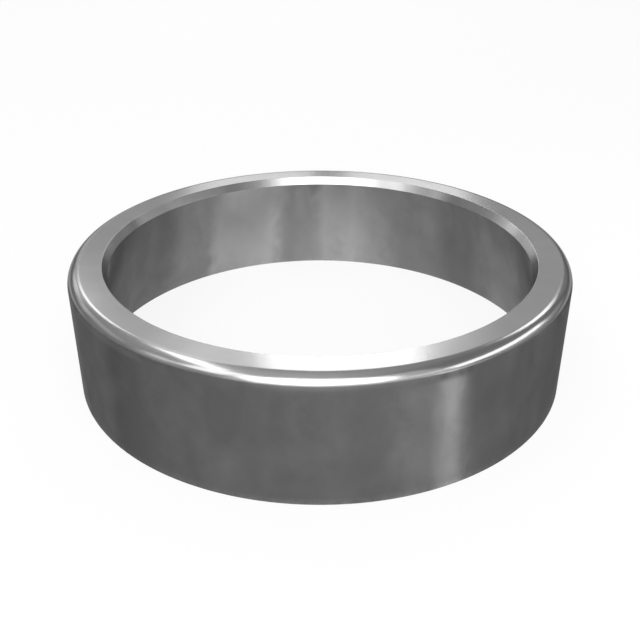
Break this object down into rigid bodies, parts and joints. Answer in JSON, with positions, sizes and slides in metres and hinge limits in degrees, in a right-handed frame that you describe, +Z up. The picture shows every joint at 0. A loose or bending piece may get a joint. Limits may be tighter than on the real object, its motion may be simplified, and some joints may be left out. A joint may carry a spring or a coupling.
{
  "type": "seamless rolled ring forging",
  "caption": "Bearing race ring with a tapered bore: thick rounded end up, thin end down, lead-in chamfer at the bore's small end, turned all over.",
  "frame": {"origin": "centre of the thin end face, which the ring stands on", "axes": "+Z up along the ring's axis, from the thin end to the thick end; X and Y are radial and interchangeable"},
  "size_m": [0.3, 0.3, 0.074],
  "materials": {
    "steel": "fine turned, satin"
  },
  "bodies": {
    "root": {"ring": "steel"}
  },
  "joints": []
}
